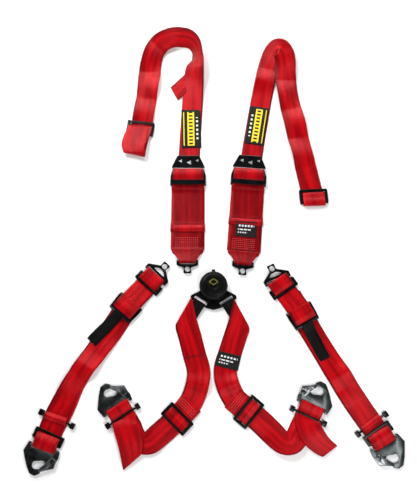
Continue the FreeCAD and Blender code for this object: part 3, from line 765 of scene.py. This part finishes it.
def crotch_belt(side, sign, upper, top_cut, slide, slide_turn, band, run, hook_turn, tail, tail_cut):
    """One crotch strap: black sleeve, red fold, stitched end at the slide, elbow, hook loop and tail."""
    body, lower = "crotch_" + side, "lower_crotch_" + side
    bar = (LAYOUT_BUCKLE[0] + sign * 31.15, LAYOUT_BUCKLE[1] - 36.1)
    down = heading(180 + sign * 31.4)
    points = [offset(bar, down, 34, 3.2), offset(bar, down, 12, 3.0)]
    points += around(bar, -down, 0, 180, 3.4, 4.5)
    points += [offset(bar, down, 10, 6.2), offset(bar, down, 30, 4.2)]
    ribbon("webbing_sleeve_" + side, body, points, 27.0, BLACK_WEB, replaces=["crotch_sleeve_" + side],
           step=1.5)
    ribbon("webbing_crotch_upper_" + side, body, upper, cut_ends=(top_cut, 0.0), ripple=0.6,
           replaces=["crotch_strap_upper_" + side], sway=(3.0, 6.0, 62.0, 128.0, 205.0))
    rises = ((44, 2.9), (42, 3.6), (24, 3.0), (15, 2.6), (8, 4.2), (0, 6.3), (-7, 4.4), (-11, 3.0))
    end = [shifted(slide, slide_turn, 0, y, z) for y, z in rises]
    ribbon("webbing_crotch_end_" + side, body, end, 51.0,
           step=2.0)
    rows = cross_rows(slide, slide_turn, 23, (24, 28.5, 33, 37.5), 4.3)
    stitch_rows("stitches_crotch_" + side, body, rows)
    for centre, turn in band:
        rows = cross_rows(centre, turn, 22, (-2.4, -0.8, 0.8, 2.4), 1.9)
        stitch_rows("stitches_band_%s_%d" % (side, int(-centre[1])), body, rows,
                    DARK_THREAD, dash=2.0, gap=0.7)
    hook = run[-1][:2]
    inward = heading(hook_turn)
    points = list(run) + [offset(hook, inward, 10, 0.8)]
    points += around(offset(hook, inward, HOOK_BAR, 0)[:2], inward, 0, 180)
    points += [offset(hook, inward, 14, 7.6), offset(hook, inward, 6, 6.6), offset(hook, inward, 1, 3.6)]
    points += [offset(hook, inward, -3, 2.1), offset(hook, inward, -8, 3.0)] + list(tail)
    ribbon("webbing_crotch_lower_" + side, lower, points, replaces=["crotch_strap_lower_" + side],
           cut_ends=(0.0, sign * tail_cut), step=2.5)


# -------------------------------------------------------------- the harness

wide_strap("left", (-57, -23), 0, 183, (70, 88))
wide_strap("right", (67, -27), -4.5, 188, (89, 106))
adjuster_dress("left", (-57, 160), 0)
adjuster_dress("right", shifted((67, -27), -4.5, 0, 188, 0)[:2], -4.5)

left_leg = [
    (-57, 172, 0.8), (-54, 260, 0.8), (-50, 340, 0.8), (-47, 400, 4.0, -6), (-44, 446, 11.0, -24),
    (-37, 490, 15.0, -46, 0.78), (-43, 520, 16.0, -44, 0.85), (-64, 538, 15.0, -36, 0.92),
    (-95, 543, 12.0, -28, 0.98), (-124, 531, 11.0, -22), (-141, 507, 9.0, -18),
    (-151, 470, 6.0, -10, 1.04), (-154, 436, 4.0, -5, 1.06), (-160, 380, 1.5), (-167, 322, 0.8),
    (-174, 280, 0.8), (-181, 250, 0.8)]
left_leg += around((-183.0, 238.0), heading(172), 0, 180, 5.5, 6.3)
left_leg += [(-185.0, 258, 12.0, 0, 1.16), (-182.0, 278, 10.0, 0, 1.1), (-178, 296, 7.4),
             (-176, 308, 5.0)]
ribbon("webbing_slim_left", "slim_shoulder_left", left_leg, replaces=["shoulder_strap_slim_left"],
       ripple=0.7, sway=(3.5, 9.0, 88.0, 250.0, 820.0))
left_tail = [(-45, 450, 1.6), (-56, 434, 1.8), (-74, 415, 2.4), (-93, 395, 2.2)]
ribbon("webbing_tail_left", "slim_shoulder_left", left_tail, 38.0, cut_ends=(0.0, -0.34))

right_leg = [
    (84, 176, 0.8), (93, 240, 0.8), (115, 365, 0.8), (127, 425, 0.9), (136, 470, 1.6, 0, 0.94),
    (144, 496, 3.4, 0, 0.92), (151, 508, 7.0, 4, 0.94), (158, 512, 11.0, 8, 0.98),
    (166, 510, 14.5, 8), (174, 499, 14.0, 4), (178, 476, 8.0), (178, 443, 3.2), (182, 390, 2.5),
    (205, 265, 2.5), (221, 182, 2.4), (227, 150, 2.2), (231, 122, 2.2)]
right_leg += around((232.6, 112.0), heading(183), 0, 180, 4.0, 6.1)
right_leg += [(232.3, 120, 9.4), (232, 128, 7.4), (231.8, 136, 6.4), (231.4, 142, 4.6)]
ribbon("webbing_slim_right", "slim_shoulder_right", right_leg, replaces=["shoulder_strap_slim_right"],
       ripple=0.5, sway=(3.0, 8.0, 96.0, 215.0, 690.0))

label("shoulder_label_left_woven", "shoulder_label_left", "slim_shoulder_left", SHOULDER_LABEL,
      (-51, 303), 1.5, 46, 100, 1.45)
label("shoulder_label_right_woven", "shoulder_label_right", "slim_shoulder_right", SHOULDER_LABEL,
      (105, 311), 170.4, 46, 100, 1.45)
label("care_patch_woven", "care_patch", "shoulder_right", SMALL_LABEL,
      (75, 52), -4.5, 48, 36, 3.0, lift=3.4)
label("crotch_label_woven", "crotch_label", "crotch_right", SMALL_LABEL,
      (32, -241), -14, 50, 32, 1.9)

lap_upper("left", (-127, -55), (-180, -114))
lap_upper("right", (143, -65), (187, -130))
lap_dress("left", (-180, -114), 140)
lap_dress("right", (187, -130), 209)
lap_lower("left", [
    (-158, -89, 0.4, 0, 0.97), (-176, -110, 0.45, 0, 0.97), (-190, -128, 0.75),
    (-220, -176, 0.75, 0, 1.04), (-250, -220, 2.0, 6), (-289, -279, 3.0, -8, 0.94),
    (-317, -338, 1.0, 0, 1.1), (-334, -375, 0.75, 0, 1.06), (-342, -400, 0.75)], 161, -43, 278.0)
lap_lower("right", [
    (171, -99, 0.4, 0, 0.97), (184, -124, 0.45, 0, 0.97), (194, -144, 0.75),
    (236, -219, 1.2, -4), (281, -297, 1.5, 4, 1.04), (313, -348, 0.75, 0, 1.04),
    (343, -392, 0.75)], 210, -26, 264.0)

crotch_belt(
    "left", -1,
    upper=[(-64, -133, 7.0, 0, 0.86), (-59, -160, 4.0, 0, 0.98), (-50, -190, 1.4), (-41, -225, 0.8),
           (-31, -262, 3.0), (-34, -293, 3.5), (-45, -323, 0.8), (-58, -341, 0.8)],
    top_cut=1.05, slide=(-75, -360), slide_turn=-44, band=[((-39, -231), 8)],
    run=[(-62, -347, 2.2), (-90, -373, 1.6), (-112, -392, 1.8), (-130, -406, 3.0, 6, 0.96),
         (-148, -408, 2.4, 8, 0.84), (-161, -394, 1.6, 4, 0.84), (-172, -377, 0.9, 0, 0.95),
         (-190, -352, 0.9)],
    hook_turn=33,
    tail=[(-183, -374, 7.4), (-174, -396, 9.6, 0, 1.03), (-168, -420, 8.6, 0, 0.96),
          (-166, -446, 5.0, 0, 0.74)],
    tail_cut=0.55)
crotch_belt(
    "right", 1,
    upper=[(62, -138, 7.0, 0, 0.86), (57, -162, 4.0, 0, 0.98), (47, -192, 1.4), (37, -222, 0.8),
           (26, -258, 0.8), (30, -290, 3.5), (45, -320, 0.8), (58, -332, 0.8)],
    top_cut=-1.05, slide=(74, -346), slide_turn=50, band=[],
    run=[(60, -335, 2.2), (92, -360, 1.6), (120, -386, 1.8), (143, -407, 5.5, -14, 0.94),
         (162, -409, 6.5, -20, 0.86), (174, -394, 3.0, -8, 0.95), (184, -378, 0.9), (199, -352, 0.9)],
    hook_turn=-25,
    tail=[(198, -376, 7.4), (206, -394, 8.8), (222, -412, 6.4, 0, 0.86), (240, -424, 3.4, 0, 0.7)],
    tail_cut=0.3)

# ----------------------------------------------------------------- hardware

finishes = {
    "buckle_base": (SATIN_BLACK, "buckle_black"), "crotch_plate": (BLACK_STEEL, "black_steel"),
    "port_spacers": (SATIN_BLACK, "buckle_black"), "buckle_housing": (SATIN_BLACK, "buckle_black"),
    "buckle_screws": (PIN_STEEL, "pin_steel"), "return_spring": (PIN_STEEL, "pin_steel"),
    "release_dial": (SATIN_BLACK, "buckle_black"), "latch_pins": (PIN_STEEL, "pin_steel"),
}
for side in ("left", "right"):
    for belt in ("shoulder", "lap"):
        finishes["tongue_%s_%s" % (belt, side)] = (BLACK_STEEL, "black_steel")
        finishes["adjuster_%s_%s" % (belt, side)] = (BLACK_STEEL, "black_steel")
        finishes["lock_bar_%s_%s" % (belt, side)] = (BLACK_STEEL, "black_steel")
    for name in ("shoulder_slide", "lap_slide", "lap_keeper", "lap_knobs",
                 "crotch_slide", "crotch_keeper"):
        finishes["%s_%s" % (name, side)] = (SATIN_BLACK, "black_steel")
    for belt in ("lap", "crotch"):
        finishes["hook_%s_%s" % (belt, side)] = (DARK_ZINC, "hook_steel")
        finishes["gate_%s_%s" % (belt, side)] = (GATE_ZINC, "gate_steel")
for node, (material, slot) in finishes.items():
    dressed(node, material)

# the broad rolled lip on the outer bar of each long slide
LIP = [(-31, 10.8), (31, 10.8), (32.5, 14.0), (31, 17.2), (-31, 17.2), (-32.5, 14.0)]
for name, body, origin, turn in (
        ("shoulder_left", "slide_shoulder_left", (-172, 303), -7),
        ("shoulder_right", "slide_shoulder_right", (232, 131), 3),
        ("crotch_left", "crotch_left", (-75, -360), -44),
        ("crotch_right", "crotch_right", (74, -346), 50)):
    slab("slide_lip_" + name, body, SATIN_BLACK, origin, turn, LIP, 5.2, 7.0, 0.8)


def emblem():
    """A plain printed diamond with rounded corners on the dial's cap."""
    mesh = bmesh.new()
    centre, count = (1.0, -74.0), 32
    rings = []
    for radius, z in ((7.4, 28.3), (7.4, 28.75), (5.8, 28.75), (5.8, 28.3)):
        angles = [2 * math.pi * index / count for index in range(count)]
        reach = [radius / (abs(math.cos(a)) + abs(math.sin(a))) ** 0.8 for a in angles]
        spots = [(1.35 * r * math.cos(a), r * math.sin(a)) for r, a in zip(reach, angles)]
        rings.append([mesh.verts.new(place(centre[0] + x, centre[1] + y, z)) for x, y in spots])
    for one, two in zip(rings, rings[1:] + rings[:1]):
        for index in range(count):
            after = (index + 1) % count
            mesh.faces.new((one[index], one[after], two[after], two[index]))
    bmesh.ops.recalc_face_normals(mesh, faces=mesh.faces[:])
    finish_mesh("dial_emblem", mesh, [BRASS_INK], "dial")


emblem()

# ------------------------------------------------------- floor, light, camera


def soft_light(name, spot, aim, size, power):
    """A rectangular area light at spot, in layout millimetres, turned to aim."""
    data = bpy.data.lights.new(name, "AREA")
    data.shape = "RECTANGLE"
    data.size, data.size_y = size
    data.energy = power
    lamp = bpy.data.objects.new(name, data)
    bpy.context.scene.collection.objects.link(lamp)
    lamp.location = place(*spot)
    lamp.rotation_mode = "QUATERNION"
    lamp.rotation_quaternion = (place(*aim) - lamp.location).to_track_quat("-Z", "Y")


def floor():
    """A plain pale floor just under the webbing."""
    n = Nodes("pale_floor")
    coords = n.add("ShaderNodeTexCoord").outputs["Object"]
    n.link(n.ramp(n.noise(coords, 3.0), [(0.0, (0.93, 0.93, 0.93)), (1.0, (0.96, 0.96, 0.96))]),
           n.shader.inputs["Base Color"])
    n.put(Roughness=0.9, Specular_IOR_Level=0.1)
    mesh = bmesh.new()
    far = 6000
    corners = ((-far, -far), (far, -far), (far, far), (-far, far))
    mesh.faces.new([mesh.verts.new(place(x, y, -0.2)) for x, y in corners])
    data = bpy.data.meshes.new("floor")
    mesh.to_mesh(data)
    mesh.free()
    data.materials.append(n.material)
    ground = bpy.data.objects.new("floor", data)
    bpy.context.scene.collection.objects.link(ground)


floor()
world = bpy.data.worlds.new("studio")
bpy.context.scene.world = world
world.use_nodes = True
sky = world.node_tree
direction = sky.nodes.new("ShaderNodeSeparateXYZ")
sky.links.new(sky.nodes.new("ShaderNodeTexCoord").outputs["Generated"], direction.inputs[0])
shade = sky.nodes.new("ShaderNodeValToRGB")
for stop, (height, grey) in zip(shade.color_ramp.elements, ((0.3, 1.0), (0.8, 0.03))):
    stop.position = height
    stop.color = (grey, grey, grey, 1.0)
sky.links.new(direction.outputs[2], shade.inputs["Fac"])
sky.links.new(shade.outputs["Color"], sky.nodes["Background"].inputs["Color"])
sky.nodes["Background"].inputs["Strength"].default_value = 1.15
soft_light("key", (-800, 1000, 1400), (0, 0, 0), (0.5, 0.5), 21.0)
soft_light("fill", (500, -800, 1200), (0, -200, 0), (0.6, 0.6), 11.0)
soft_light("strip", (0, 1500, 800), (0, 200, 0), (2.2, 0.2), 20.0)
bpy.context.scene.view_settings.view_transform = "Standard"

AIM = (-10.0, 4.7, 0.0)
ELEVATION = math.radians(75)
DISTANCE = 1300.0
camera_data = bpy.data.cameras.new("camera")
camera_data.sensor_fit = "VERTICAL"
camera_data.sensor_height = 36.0
camera_data.lens = 41.6
camera = bpy.data.objects.new("camera", camera_data)
bpy.context.scene.collection.objects.link(camera)
back, up = DISTANCE * math.cos(ELEVATION), DISTANCE * math.sin(ELEVATION)
camera.location = place(AIM[0], AIM[1] - back, up)
camera.rotation_euler = (math.radians(90) - ELEVATION, 0.0, 0.0)
bpy.context.scene.camera = camera
